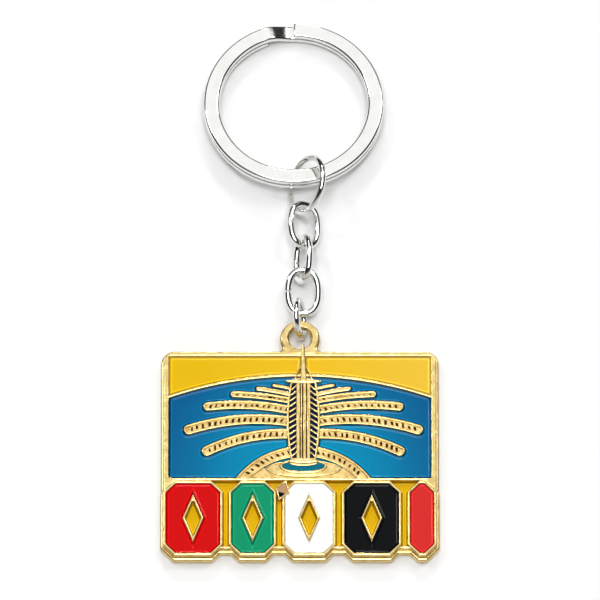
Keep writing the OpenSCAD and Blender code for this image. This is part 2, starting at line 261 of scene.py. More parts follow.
def fill(low, high, to_wall, floor, level, climb=0.17, band=0.75, cell=0.15, hide=0.05):
    """Enamel between two corners. to_wall gives the distance to the nearest metal, positive in the
    enamel. The top climbs the metal by climb where it wets it, starting at band from it. The solid's
    edge hides inside the metal. cell is the step of its grid."""
    xs = np.linspace(low[0], high[0], math.ceil((high[0] - low[0]) / cell) + 1)
    ys = np.linspace(low[1], high[1], math.ceil((high[1] - low[1]) / cell) + 1)
    x, y = np.meshgrid(xs, ys)
    wall = to_wall(x, y)
    z = level + climb * (1 - smooth_step(wall / band)) ** 2
    z = np.where(wall < -hide, np.minimum(z, level), z)
    shown = wall > -hide
    shown = shown[:-1, :-1] | shown[1:, :-1] | shown[:-1, 1:] | shown[1:, 1:]
    bm = bmesh.new()
    corners = {}
    for j, i in zip(*np.nonzero(shown)):
        quad = []
        for key in ((j, i), (j, i + 1), (j + 1, i + 1), (j + 1, i)):
            if key not in corners:
                corners[key] = bm.verts.new((x[key], y[key], z[key]))
            quad.append(corners[key])
        bm.faces.new(quad)
    rim = [e for e in bm.edges if e.is_boundary]
    skirt = bmesh.ops.extrude_edge_only(bm, edges=rim)["geom"]
    for part in skirt:
        if isinstance(part, bmesh.types.BMVert):
            part.co.z = floor
    bmesh.ops.triangle_fill(bm, edges=[e for e in skirt if isinstance(e, bmesh.types.BMEdge)])
    bmesh.ops.recalc_face_normals(bm, faces=bm.faces)
    bm.verts.index_update()
    solid = [tuple(v.co) for v in bm.verts], [[v.index for v in f.verts] for f in bm.faces]
    bm.free()
    return solid


def piece(name, solids, finish, body, nodes=(), place=None, flat=True):
    """One object from several solids. It rides a body and stands for nodes of the design."""
    place = place or Matrix.Translation((0, CHARM_Y, 0))
    points, faces = [], []
    for solid_points, solid_faces in solids:
        start = len(points)
        points += [tuple(place @ Vector(p) * MM) for p in solid_points]
        faces += [[start + i for i in face] for face in solid_faces]
    mesh = bpy.data.meshes.new(name)
    mesh.from_pydata(points, [], faces)
    mesh.update()
    mesh.shade_smooth()
    mesh.set_sharp_from_angle(angle=math.radians(50))
    mesh.materials.append(finish)
    made = bpy.data.objects.new(name, mesh)
    bpy.context.scene.collection.objects.link(made)
    if flat:
        weighted = made.modifiers.new("flat_faces", "WEIGHTED_NORMAL")
        weighted.keep_sharp = True
    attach(made, body)
    if nodes:
        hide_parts(*nodes)


# ---- Finishes ----

def linear(code):
    """Linear colour of an sRGB hex value."""
    values = [int(code[i:i + 2], 16) / 255 for i in (1, 3, 5)]
    return [v / 12.92 if v <= 0.04045 else ((v + 0.055) / 1.055) ** 2.4 for v in values] + [1.0]


def add(tree, kind, inputs=None, **settings):
    """A node with its settings, and its inputs as values or as links from other nodes' outputs."""
    node = tree.nodes.new(kind)
    for key, value in settings.items():
        setattr(node, key, value)
    for key, value in (inputs or {}).items():
        if isinstance(value, bpy.types.NodeSocket):
            tree.links.new(value, node.inputs[key])
        else:
            node.inputs[key].default_value = value
    return node


def new_finish(name):
    """A material with its node tree and its shader."""
    finish = bpy.data.materials.new(name)
    finish.use_nodes = True
    tree = finish.node_tree
    return finish, tree, tree.nodes["Principled BSDF"]


def plated(finish, tree, shader, tone, shine, bump):
    """The finish as bare metal with this colour, roughness and relief."""
    tree.links.new(tone.outputs["Result"], shader.inputs["Base Color"])
    tree.links.new(shine.outputs["Result"], shader.inputs["Roughness"])
    tree.links.new(bump.outputs["Normal"], shader.inputs["Normal"])
    shader.inputs["Metallic"].default_value = 1.0
    return finish


def gold_plated_zinc(name, bright, deep, rough, grain_mm, grain_depth):
    """Zinc die casting with bright gold plating. The plating follows the cast skin, so the eye sees
    a fine grain in the shine, a little wear on the faces, and a deeper tone where it is thinner.
    The real grain is under 0.1 mm. It is drawn as coarse as it needs to show."""
    finish, tree, shader = new_finish(name)
    where = add(tree, "ShaderNodeTexCoord").outputs["Object"]
    cloud = add(tree, "ShaderNodeTexNoise", {"Vector": where, "Scale": 1 / (1.0 * MM), "Detail": 3.0})
    skin = add(tree, "ShaderNodeTexNoise", {"Vector": where, "Scale": 1 / (grain_mm * MM), "Detail": 4.0})
    wear = add(tree, "ShaderNodeMapRange", {"Value": cloud.outputs["Fac"], "From Min": 0.35, "From Max": 0.7})
    tone = add(tree, "ShaderNodeMix", {"Factor": wear.outputs["Result"], "A": linear(bright),
                                       "B": linear(deep)}, data_type="RGBA")
    shine = add(tree, "ShaderNodeMapRange", {"Value": skin.outputs["Fac"], "From Min": 0.3, "From Max": 0.7,
                                             "To Min": rough * 0.75, "To Max": rough * 1.35})
    bump = add(tree, "ShaderNodeBump", {"Height": skin.outputs["Fac"], "Strength": 0.6,
                                        "Distance": grain_depth * MM})
    return plated(finish, tree, shader, tone, shine, bump)


def nickel_plated_steel(name, colour, shaded, rough, haze_mm, wave_mm):
    """Steel wire with bright nickel plating. Drawing and tumbling leave faint soft waves and a fine
    haze, so the eye sees mirror-like light and dark bands that are never quite straight. The real
    haze is under 0.1 mm. It is drawn as coarse as it needs to show."""
    finish, tree, shader = new_finish(name)
    where = add(tree, "ShaderNodeTexCoord").outputs["Object"]
    haze = add(tree, "ShaderNodeTexNoise", {"Vector": where, "Scale": 1 / (haze_mm * MM), "Detail": 5.0})
    wave = add(tree, "ShaderNodeTexNoise", {"Vector": where, "Scale": 1 / (wave_mm * MM), "Detail": 1.0})
    shine = add(tree, "ShaderNodeMapRange", {"Value": haze.outputs["Fac"], "From Min": 0.35,
                                             "From Max": 0.75, "To Min": rough * 0.7, "To Max": rough * 1.8})
    tone = add(tree, "ShaderNodeMix", {"Factor": wave.outputs["Fac"], "A": linear(colour),
                                       "B": linear(shaded)}, data_type="RGBA")
    bump = add(tree, "ShaderNodeBump", {"Height": wave.outputs["Fac"], "Strength": 0.5,
                                        "Distance": 0.006 * MM})
    return plated(finish, tree, shader, tone, shine, bump)


def stoved_enamel(name, stops, level, painted_wall_shade=0.72, heart=(0.0, 0.0), reach=(0.0, 1.0)):
    """Soft enamel, filled by needle and stoved. It is glossy with a faint orange peel and its pigment
    settles in slow clouds. A painted highlight makes it lighter in a line where it starts to climb the
    metal, and painted shade then darkens it against the metal by painted_wall_shade. stops are its colours
    at growing distances from heart, spread over reach. The climb starts at level, and a fill that lies
    above it has the painted shade all over.
    The real peel is about 0.5 mm across. It is drawn coarser, so that it shows."""
    finish, tree, shader = new_finish(name)
    where = add(tree, "ShaderNodeTexCoord").outputs["Object"]
    place = add(tree, "ShaderNodeSeparateXYZ", {"Vector": where})
    cloud = add(tree, "ShaderNodeTexNoise", {"Vector": where, "Scale": 1 / (7.0 * MM), "Detail": 2.0})
    away = add(tree, "ShaderNodeVectorMath",
               {0: where, 1: (heart[0] * MM, (CHARM_Y + heart[1]) * MM, level * MM)}, operation="DISTANCE")
    spread = add(tree, "ShaderNodeMapRange", {"Value": away.outputs["Value"], "From Min": reach[0] * MM,
                                              "From Max": reach[1] * MM})
    drift = add(tree, "ShaderNodeMath", {0: cloud.outputs["Fac"], 1: 0.16, 2: spread.outputs["Result"]},
                operation="MULTIPLY_ADD")
    along = add(tree, "ShaderNodeMath", {0: drift.outputs["Value"], 1: -0.08}, operation="ADD")
    ramp = add(tree, "ShaderNodeValToRGB", {"Fac": along.outputs["Value"]})
    ends = ramp.color_ramp.elements
    for k, code in enumerate(stops):
        at = k / max(1, len(stops) - 1)
        stop = ends[k] if k < 2 else ends.new(at)
        stop.position, stop.color = at, linear(code)
    if len(stops) == 1:
        ends[1].color = linear(stops[0])
    # Painted highlight: enamel lighter in a thin line where it starts to climb the metal
    painted_highlight = add(tree, "ShaderNodeMapRange", {"Value": place.outputs["Z"], "From Min": (level + 0.005) * MM,
                                            "From Max": (level + 0.03) * MM, "To Min": 1.0,
                                            "To Max": PAINTED_HIGHLIGHT_TONE})
    # Painted shade: enamel darker where it climbs against the metal, by painted_wall_shade
    thick = add(tree, "ShaderNodeMapRange", {"Value": place.outputs["Z"], "From Min": (level + 0.035) * MM,
                                             "From Max": (level + 0.13) * MM, "To Min": 1.0,
                                             "To Max": painted_wall_shade / PAINTED_HIGHLIGHT_TONE})
    # climb joins the painted highlight and the painted shade into one factor on the colour
    climb = add(tree, "ShaderNodeMath", {0: painted_highlight.outputs["Result"], 1: thick.outputs["Result"]},
                operation="MULTIPLY")
    deep = add(tree, "ShaderNodeVectorMath", {0: ramp.outputs["Color"], "Scale": climb.outputs["Value"]},
               operation="SCALE")
    peel = add(tree, "ShaderNodeTexNoise", {"Vector": where, "Scale": 1 / (1.3 * MM), "Detail": 1.0})
    bump = add(tree, "ShaderNodeBump", {"Height": peel.outputs["Fac"], "Strength": 0.2,
                                        "Distance": 0.03 * MM})
    tree.links.new(deep.outputs["Vector"], shader.inputs["Base Color"])
    tree.links.new(bump.outputs["Normal"], shader.inputs["Normal"])
    shader.inputs["Roughness"].default_value = 0.1
    shader.inputs["IOR"].default_value = 1.52
    shader.inputs["Specular IOR Level"].default_value = 0.08
    return finish


plate_gold = gold_plated_zinc("gold_plated_zinc_polished", "#e6ce90", "#d0b26e", 0.19, 0.35, 0.008)
# Painted shade: dark brown metal for the bottoms of the pits and grooves
painted_shade_gold = gold_plated_zinc("gold_plated_zinc_painted_shade", "#5a3a18", "#2c1a0a", 0.5, 0.3, 0.05)
satin_gold = gold_plated_zinc("gold_plated_zinc_satin", "#d9bf80", "#b8965a", 0.34, 0.3, 0.04)
nickel = nickel_plated_steel("nickel_plated_steel_bright", "#f2f2ef", "#e2e2df", 0.08, 0.5, 2.2)
# The number after each level sets how dark the painted shade against the metal is
yellow = stoved_enamel("stoved_enamel_yellow", ["#e6b80c", "#ecbe20", "#eec23a"], CELL_LEVEL, 0.6,
                       heart=(-21, -1), reach=(4, 42))
ground_yellow = stoved_enamel("stoved_enamel_yellow_deep", ["#dcae04"], GROUND_LEVEL, 0.55)
blue = stoved_enamel("stoved_enamel_blue", ["#008ab4", "#0080ac", "#006c9a", "#005c90"], CELL_LEVEL, 0.3,
                     heart=(TOWER_X, -22), reach=(7, 24))
teal = stoved_enamel("stoved_enamel_teal", ["#057f98"], CELL_LEVEL)
navy = stoved_enamel("stoved_enamel_navy", ["#0a1c34"], CHARM_T)
red = stoved_enamel("stoved_enamel_red", ["#d20306"], TILE_LEVEL, 0.5)
green = stoved_enamel("stoved_enamel_green", ["#0a9468"], TILE_LEVEL, 0.45)
white = stoved_enamel("stoved_enamel_white", ["#fafaf6"], TILE_LEVEL, 0.8)
black = stoved_enamel("stoved_enamel_black", ["#06080c"], TILE_LEVEL)
coral = stoved_enamel("stoved_enamel_coral", ["#d62c2a"], TILE_LEVEL, 0.55)
beige = stoved_enamel("stoved_enamel_beige", ["#dcae7c"], TILE_LEVEL)


# ---- Outlines of the charm ----

def tile_sides(i):
    """Left and right edge of tile i."""
    left = sum(TILE_W[:i]) + i * TILE_GAP - TILES_W / 2
    return left, left + TILE_W[i]


def tile_centre(i):
    """Middle of tile i."""
    left, right = tile_sides(i)
    return (left + right) / 2, TILE_TOP - TILE_H / 2


def cut_box(i, inset, r=0.25):
    """Outline of tile i, moved in by inset."""
    cx, cy = tile_centre(i)
    a, b = TILE_W[i] / 2 - inset, TILE_H / 2 - inset
    c = TILE_CUT - inset * (2 - math.sqrt(2))
    corners = [(a, b - c), (a - c, b), (c - a, b), (-a, b - c), (-a, c - b), (c - a, -b), (a - c, -b),
               (a, c - b)]
    return rounded([(cx + x, cy + y, r) for x, y in corners])


def gem(centre, size, grow, lean=0.0, r=0.12):
    """Upright lozenge outline, grown outward."""
    a = size[0] / 2 + grow * math.hypot(*size) / size[1]
    b = a * size[1] / size[0]
    c, s = math.cos(-lean), math.sin(-lean)
    corners = [(a, 0), (0, b), (-a, 0), (0, -b)]
    return rounded([(centre[0] + c * x - s * y, centre[1] + s * x + c * y, r) for x, y in corners])


def charm_edge(grow=0.0):
    """Outline of the front face: the panel's box above and the five tiles below. A negative radius
    marks a corner that points inward, whose radius doesn't grow."""
    half = CHARM_W / 2
    low = -CHARM_H
    left = [(-half, 0, CORNER_R), (-half, SHOULDER_Y + 1, 0.4), (-half + 0.3, SHOULDER_Y + 0.65, -0.1)]
    corners = left + [(tile_sides(0)[0], SHOULDER_Y + 0.2, 0.3), (tile_sides(0)[0], low + TILE_CUT, 0.3)]
    for i in TILES:
        x0, x1 = tile_sides(i)
        corners += [(x0 + TILE_CUT, low, 0.3), (x1 - TILE_CUT, low, 0.3)]
        if i < LAST_TILE:
            notch = TILE_CUT - GROUND_DROP
            corners += [(x1 - notch, low + GROUND_DROP, -0.15),
                        (tile_sides(i + 1)[0] + notch, low + GROUND_DROP, -0.15)]
    end = tile_sides(LAST_TILE)[1]
    corners += [(end, low + TILE_CUT, 0.3), (end, SHOULDER_Y + 0.2, 0.3)]
    corners += [(-x, y, r) for x, y, r in reversed(left)]
    moved = moved_in([(x, y) for x, y, r in corners], -grow)
    return rounded([(*at, r + grow if r > 0 else -r) for at, (x, y, r) in zip(moved, corners)])


def frond_arc(frond):
    """Centre, radius, root angle and tip angle of a frond's middle line, right of the tower."""
    root, tip = Vector((FROND_ROOT_X, frond.root_y)), Vector((frond.tip_x, frond.tip_y))
    span = (tip - root).length
    r = (span * span / 4 + frond.bow * frond.bow) / (2 * frond.bow)
    along = (tip - root) / span
    centre = (root + tip) / 2 - (r - frond.bow) * Vector((-along.y, along.x))
    start, end = root - centre, tip - centre
    return (TOWER_X + centre.x, centre.y), r, math.atan2(start.y, start.x), math.atan2(end.y, end.x)


def frond_outline(frond, inset=0.0):
    """A frond with a round tip; its root hides in the tower."""
    centre, r, root, tip = frond_arc(frond)
    half = frond.width / 2 - inset
    end = (centre[0] + r * math.cos(tip), centre[1] + r * math.sin(tip))
    return (arc(centre, r + half, root - inset / r, tip)
            + arc(end, half, tip, tip - math.pi, step=0.12)
            + arc(centre, r - half, tip, root - inset / r))


def curved_strip(centre, r, width, start, end):
    """Curved strip about the circle of radius r."""
    return arc(centre, r + width / 2, start, end) + arc(centre, r - width / 2, end, start)


def tower_half(y):
    """Half the width of the tower at height y."""
    return TOWER_W / 2 - TOWER_BELLY * (2 * (y - TOWER_MID) / TOWER_H) ** 2


def barrel(inset=0.0, steps=28):
    """Outline of the tower, bowed at the sides."""
    heights = [TOWER_LOW + inset + (TOWER_H - 2 * inset) * k / steps for k in range(steps + 1)]
    right = [(TOWER_X + tower_half(y) - inset, y) for y in heights]
    return right + flipped(right)[::-1]


def eyelet_outline(grow=0.0, flare=0.6):
    """Ring round the hole, flared into the top border on both sides."""
    r = EYELET_D / 2 + grow
    flare_y = grow + flare
    flare_x = math.sqrt((r + flare) ** 2 - (EYELET_RISE - flare_y) ** 2)
    meet = math.atan2(EYELET_RISE - flare_y, -flare_x)
    foot = [(flare_x, grow - BORDER_W / 2)]
    right = arc((flare_x, flare_y), flare, -math.pi / 2, meet - 2 * math.pi if meet > 0 else meet, step=0.15)
    head = arc((0, EYELET_RISE), r, meet - math.pi, math.pi / 2, step=0.2)
    half = foot + right + head
    return half + [(-x, y) for x, y in half[::-1]]


# ---- Distances to the metal, for the enamel's climb ----

def in_panel(x, y):
    """Distance inside the border and above the divider."""
    return np.minimum(np.minimum(PANEL_X - x, PANEL_X + x), np.minimum(-BORDER_W - y, y - DIVIDER_Y))


def from_circle(x, y, centre, r):
    """Distance outside a circle."""
    return np.hypot(x - centre[0], y - centre[1]) - r


def from_frond(x, y, frond):
    """Distance outside a frond and its mirror image."""
    centre, r, _, tip = frond_arc(frond)
    x = TOWER_X + np.abs(x - TOWER_X)
    angle = np.arctan2(y - centre[1], x - centre[0])
    beside = np.abs(np.hypot(x - centre[0], y - centre[1]) - r)
    beyond = np.hypot(x - centre[0] - r * math.cos(tip), y - centre[1] - r * math.sin(tip))
    return np.where(angle < tip, beyond, beside) - frond.width / 2


def from_tower(x, y):
    """Distance outside the tower."""
    return np.maximum(np.abs(x - TOWER_X) - tower_half(y), np.maximum(y - TOWER_TOP, TOWER_LOW - y))


def from_spire(x, y):
    """Distance beside the spire."""
    share = np.clip((y - TOWER_TOP) / (SPIRE_TIP - TOWER_TOP), 0, 1)
    return np.abs(x - TOWER_X) - (SPIRE_W + (SPIRE_TIP_W - SPIRE_W) * share) / 2


def sea_room(x, y):
    """Distance to the metal round the sea."""
    room = np.minimum(in_panel(x, y), -from_circle(x, y, HORIZON_C, HORIZON_R - LINE_W / 2))
    room = np.minimum(room, from_circle(x, y, MOUND_C, MOUND_R))
    room = np.minimum(room, from_tower(x, y))
    for frond in PUNCHED_FRONDS + PLAIN_FRONDS:
        room = np.minimum(room, from_frond(x, y, frond))
    return room


def sky_room(x, y):
    """Distance to the metal round the sky."""
    room = np.minimum(in_panel(x, y), from_circle(x, y, HORIZON_C, HORIZON_R + LINE_W / 2))
    return np.minimum(room, from_spire(x, y))


def gem_room(x, y, centre, size):
    """Distance inside an upright lozenge."""
    a, b = size[0] / 2, size[1] / 2
    return (a * b - np.abs(x - centre[0]) * b - np.abs(y - centre[1]) * a) / math.hypot(a, b)


def in_tile(i, x, y, inset=0.0):
    """Distance inside the outline of tile i, moved in by inset."""
    cx, cy = tile_centre(i)
    a, b = TILE_W[i] / 2 - inset, TILE_H / 2 - inset
    c = TILE_CUT - inset * (2 - math.sqrt(2))
    u, v = np.abs(x - cx), np.abs(y - cy)
    return np.minimum(np.minimum(a - u, b - v), (a + b - c - u - v) / math.sqrt(2))


def tile_room(i, x, y):
    """Distance to the metal round the fill of tile i."""
    room = in_tile(i, x, y, TILE_RIM)
    if i < LAST_TILE:
        room = np.minimum(room, -gem_room(x, y, tile_centre(i), GEM) - TILE_RIM)
    return room


def gap_room(i, x, y):
    """Distance to the metal round the gap after tile i."""
    between = np.minimum(-in_tile(i, x, y), -in_tile(i + 1, x, y))
    return np.minimum(between, np.minimum(TILE_TOP - y, y + CHARM_H - GROUND_DROP - TILE_RIM))


# ---- Charm casting ----

def back_step():
    """Back of the casting: a rim that it rests on round a slightly sunk field."""
    field = rounded([(-FIELD_X, FIELD_TOP, FIELD_R), (-FIELD_X, FIELD_LOW, FIELD_R),
                     (FIELD_X, FIELD_LOW, FIELD_R), (FIELD_X, FIELD_TOP, FIELD_R)])
    return [raised([charm_edge(STEP_OUT), field], side(0, STEP_T, 0.22, 0.3)),
            raised([moved_in(wound(field), -0.3)], side(BACK_SUNK, STEP_T - 0.02))]


def border():
    """Border round the picture panel, with the divider below it and a foot over each end tile."""
    half, lap = CHARM_W / 2, TILE_CUT + 0.1
    right = [(half - lap, TILE_TOP, 0), (half - 0.5, TILE_TOP - 1.5, 0), (half - 0.5, SHOULDER_Y, 0.1),
             (half, SHOULDER_Y, 0.15), (half, 0, CORNER_R)]
    outer = rounded([(-x, y, r) for x, y, r in right[::-1]] + right)
    panel = rounded([(-PANEL_X, -BORDER_W, 0.3), (-PANEL_X, DIVIDER_Y, 0.3), (PANEL_X, DIVIDER_Y, 0.3),
                     (PANEL_X, -BORDER_W, 0.3)])
    return [raised([outer, panel], side(WALL_LOW, CHARM_T - 0.02, 0, 0.2))]


def horizon():
    """Raised line of the horizon, let into the border at both ends."""
    reach = math.asin((PANEL_X + 0.3) / HORIZON_R)
    strip = curved_strip(HORIZON_C, HORIZON_R, LINE_W, math.pi / 2 - reach, math.pi / 2 + reach)
    return [raised([strip], side(WALL_LOW, CHARM_T - 0.03, 0, 0.18))]


def frond_rims():
    """Raised rim round each punched frond; the plain ones are rounded ridges."""
    solids = []
    for turn in (list, flipped):
        solids += [raised([turn(frond_outline(frond)), turn(frond_outline(frond, FROND_RIM))],
                          side(WALL_LOW, CHARM_T, 0, 0.1)) for frond in PUNCHED_FRONDS]
        solids += [raised([turn(frond_outline(frond))], side(WALL_LOW, CHARM_T, 0, 0.18))
                   for frond in PLAIN_FRONDS]
    return solids


def pit_row(centre, r, start, end, width, draws):
    """Outlines of slanted pits along an arc, uneven as a hand punch leaves them."""
    count = max(1, int(abs(end - start) * r / PIT_PITCH))
    pits = []
    for k in range(count):
        a = start + (end - start) * (k + 0.5 + draws.uniform(-0.1, 0.1)) / count
        out, along = Vector((math.cos(a), math.sin(a))), Vector((-math.sin(a), math.cos(a)))
        middle = Vector(centre) + (r + draws.uniform(-0.04, 0.04)) * out
        half, lean = width / 2 * draws.uniform(0.7, 1.0), draws.uniform(0.03, 0.16)
        thick = PIT_W / 2 * draws.uniform(0.7, 1.2)
        corners = ((-thick - lean, -half), (thick - lean, -half), (thick + lean, half), (-thick + lean, half))
        pits.append([tuple(middle + along * u + out * v) for u, v in corners])
    return pits


def punched_floors():
    """Floors of the fronds and of the mound's band, with their rows of pits."""
    draws = random.Random(CAST_SEED)
    edge = side(WALL_LOW, PUNCHED_TOP, 0, 0.05, 2)
    solids = []
    for frond in PUNCHED_FRONDS:
        centre, r, root, tip = frond_arc(frond)
        pit_w = max(0.3, frond.width - 2 * FROND_RIM - 0.22)
        for turn in (list, flipped):
            pits = pit_row(centre, r, root - 0.02, tip, pit_w, draws)
            solids.append(raised([turn(o) for o in [frond_outline(frond, FROND_RIM - 0.05)] + pits], edge))
    r, low = MOUND_R - MOUND_BAND / 2, math.asin((DIVIDER_Y - MOUND_C[1] + 0.6) / MOUND_R)
    strip = curved_strip(MOUND_C, r, MOUND_BAND - 0.5, low - 0.04, math.pi - low + 0.04)
    solids.append(raised([strip] + pit_row(MOUND_C, r, low + 0.06, math.pi - low - 0.06, 0.75, draws), edge))
    return solids


def painted_shade_bottoms():
    """Bottoms of the pits and of the grooves in the tower's pier, in dark metal that is painted shade."""
    bottom = PUNCHED_TOP - PIT_DEPTH
    solids = [raised([turn(frond_outline(frond, FROND_RIM))], side(WALL_LOW, bottom, 0, 0.02, 1))
              for frond in PUNCHED_FRONDS for turn in (list, flipped)]
    solids.append(mound_arc(MOUND_R - MOUND_BAND / 2, MOUND_BAND - 0.6, bottom))
    solids.append(raised([tower_strip(0, PIER_W)], side(TOWER_WALL_LOW, CHARM_T + 0.05, 0, 0.02, 1)))
    return solids


def mound_arc(r, width, z, edge=0.1):
    """Curved line of the mound, cut off by the divider."""
    low = math.asin((DIVIDER_Y - LINE_W / 2 - MOUND_C[1]) / (r + width / 2))
    return raised([curved_strip(MOUND_C, r, width, low, math.pi - low)], side(WALL_LOW, z, 0, edge))


def mound_field():
    """Plain field of the mound, inside its band."""
    r = MOUND_R - MOUND_BAND + 0.1
    low = math.asin((DIVIDER_Y - LINE_W / 2 - MOUND_C[1]) / r)
    return raised([arc(MOUND_C, r, low, math.pi - low)], side(WALL_LOW, MOUND_FIELD_TOP, 0, 0.02, 1))


def plinth():
    """Oval plinth with a raised rim, and the ring round the lagoon."""
    outer, inner = ellipse(PLINTH_C, PLINTH_SIZE), ellipse(PLINTH_C, [s - 0.56 for s in PLINTH_SIZE])
    shore, lagoon = ellipse(LAGOON_C, [s + 1.0 for s in LAGOON_SIZE]), ellipse(LAGOON_C, LAGOON_SIZE)
    return [raised([outer], side(WALL_LOW, PLINTH_TOP, 0, 0.12)),
            raised([outer, inner], side(WALL_LOW, PLINTH_RIM_TOP, 0, 0.12)),
            raised([shore, lagoon], side(WALL_LOW, LAGOON_RIM_TOP, 0, 0.16))]


def tower_strip(offset, width):
    """Upright strip on the tower's pier."""
    x = TOWER_X + offset
    low, high = TOWER_LOW + 0.2, TOWER_TOP - 0.2
    return [(x - width / 2, low), (x + width / 2, low), (x + width / 2, high), (x - width / 2, high)]


def tower_body():
    """Body of the tower, its side rims, the ribs of its pier, and its foot."""
    solids = [raised([barrel()], side(WALL_LOW, CHARM_T, 0, 0.12)),
              raised([barrel(), barrel(0.38)], side(WALL_LOW, TOWER_RIM_TOP, 0, 0.12))]
    solids += [raised([tower_strip(offset, width)], side(TOWER_WALL_LOW, z, 0, 0.09))
               for offset, width, z in PIER_RIBS]
    foot = ellipse((TOWER_X, TOWER_LOW - 0.1), (5.2, 1.0))
    step = ellipse((TOWER_X, TOWER_LOW - 0.35), (4.7, 1.1))
    return solids + [raised([foot], side(WALL_LOW, TOWER_FOOT_TOP, 0, 0.3)),
                     raised([step], side(WALL_LOW, TOWER_STEP_TOP, 0, 0.1))]


def tower_bars():
    """Slanted floor bars between the tower's rims and its pier."""
    solids = []
    pitch = (TOWER_H - 1.2) / (TOWER_FLOORS + 1)    # floors stop short of the foot and the gallery
    for k in range(TOWER_FLOORS + 1):
        y = TOWER_LOW + 0.75 + (k + 0.5) * pitch
        outer = TOWER_X + tower_half(y) - 0.3
        bar = [(PIER_EDGE, y + 0.08), (outer, y - 0.72), (outer, y - 0.4), (PIER_EDGE, y + 0.4)]
        solids += [raised([turn(bar)], side(TOWER_WALL_LOW, TOWER_BAR_TOP, 0, 0.07, 3))
                   for turn in (list, flipped)]
    return solids


def tower_crown():
    """Gallery, mast and two bowed braces on top of the tower."""
    gallery = ellipse((TOWER_X, TOWER_TOP), (6.0, 0.72))
    collar = ellipse((TOWER_X, TOWER_TOP + 0.35), (3.6, 0.7))
    foot, tip = SPIRE_W / 2 - 0.1, SPIRE_TIP_W / 2
    mast = rounded([(TOWER_X - foot, TOWER_TOP, 0), (TOWER_X + foot, TOWER_TOP, 0),
                    (TOWER_X + tip, SPIRE_TIP - 0.02, 0.12), (TOWER_X - tip, SPIRE_TIP - 0.02, 0.12)])
    rises = np.linspace(0, 1, 14)
    outside, inside = ([(TOWER_X + 1.55 - inset - 1.35 * t ** 1.6, TOWER_TOP + 3.3 * t) for t in rises]
                       for inset in (0.0, 0.34))
    brace = outside + inside[::-1]
    return [raised([gallery], side(WALL_LOW, GALLERY_TOP, 0, 0.2)),
            raised([collar], side(WALL_LOW, COLLAR_TOP, 0, 0.2)),
            raised([mast], side(MAST_LOW, MAST_TOP, 0, 0.17)),
            raised([brace], side(WALL_LOW, BRACE_TOP, 0, 0.12, 3)),
            raised([flipped(brace)], side(WALL_LOW, BRACE_TOP, 0, 0.12, 3))]


def tile_rims():
    """Rim of each tile, the rims of its gem window, and the strips between the tiles' feet."""
    solids = []
    for i in TILES:
        solids.append(raised([cut_box(i, 0), cut_box(i, TILE_RIM)], side(WALL_LOW, CHARM_T, 0, 0.18)))
        if i < LAST_TILE:
            centre = tile_centre(i)
            solids.append(raised([gem(centre, GEM, TILE_RIM - 0.05), gem(centre, GEM, 0)],
                                 side(WALL_LOW, CHARM_T - 0.02, 0, 0.17)))
            x0, x1, y = tile_sides(i)[1] - 0.6, tile_sides(i + 1)[0] + 0.6, GROUND_DROP - CHARM_H
            strip = [(x0, y), (x1, y), (x1, y + TILE_RIM), (x0, y + TILE_RIM)]
            solids.append(raised([strip], side(WALL_LOW, FOOT_STRIP_TOP, 0, 0.16)))
    return solids


def eyelet():
    """Eyelet with a flat face, a sloped lower step outside it and a small one inside its hole."""
    hole, wide_hole = (ellipse((0, EYELET_RISE), (d, d), count=64)
                       for d in (EYELET_HOLE, EYELET_HOLE + EYELET_HOLE_STEP))
    return [raised([eyelet_outline(), wide_hole], side(EYELET_LOW + 0.1, CHARM_T, 0.0, 0.16)),
            raised([eyelet_outline(0.25), hole], side(EYELET_LOW, EYELET_STEP_TOP, 0.12, 0.34))]


def lozenge_rim():
    """Rim of the small lozenge that leans on the divider."""
    outlines = [gem(LOZENGE_C, LOZENGE_SIZE, grow, LOZENGE_LEAN) for grow in (0, -LOZENGE_RIM)]
    return [raised(outlines, side(WALL_LOW, LOZENGE_TOP, 0, 0.12))]


def make_charm():
    """The casting, in one piece but for its satin floors and the painted-shade bottoms of its pits."""
    solids = back_step() + border() + horizon() + frond_rims() + plinth() + tower_body() + tower_bars()
    solids += tower_crown() + tile_rims() + eyelet() + lozenge_rim()
    solids += [mound_arc(MOUND_R - 0.19, 0.38, CHARM_T - 0.02),
               mound_arc(MOUND_R - MOUND_BAND + 0.17, 0.34, CHARM_T - 0.04)]
    piece("charm_casting", solids, plate_gold, "charm", ["charm_plate"])
    piece("punched_floors", punched_floors(), satin_gold, "charm")
    # The dark pit and groove bottoms are painted shade.
    piece("painted_shade_bottoms", painted_shade_bottoms(), painted_shade_gold, "charm")
    piece("mound_field", [mound_field()], satin_gold, "charm")


# ---- Enamel ----

def make_picture_enamels():
    """Sky and sea, each in two fills that meet behind the tower."""
    for which, x0, x1 in (("left", -PANEL_X - 0.1, TOWER_X), ("right", TOWER_X, PANEL_X + 0.1)):
        sky = fill((x0, HORIZON_SIDE - 0.3), (x1, -BORDER_W + 0.1), sky_room, CELL_LOW, CELL_LEVEL)
        piece(f"sky_fill_{which}", [sky], yellow, "charm", [f"sky_enamel_{which}"],
              flat=False)
        sea = fill((x0, DIVIDER_Y - 0.1), (x1, HORIZON_MID), sea_room, CELL_LOW, CELL_LEVEL)
        piece(f"sea_fill_{which}", [sea], blue, "charm", [f"sea_enamel_{which}"],
              flat=False)


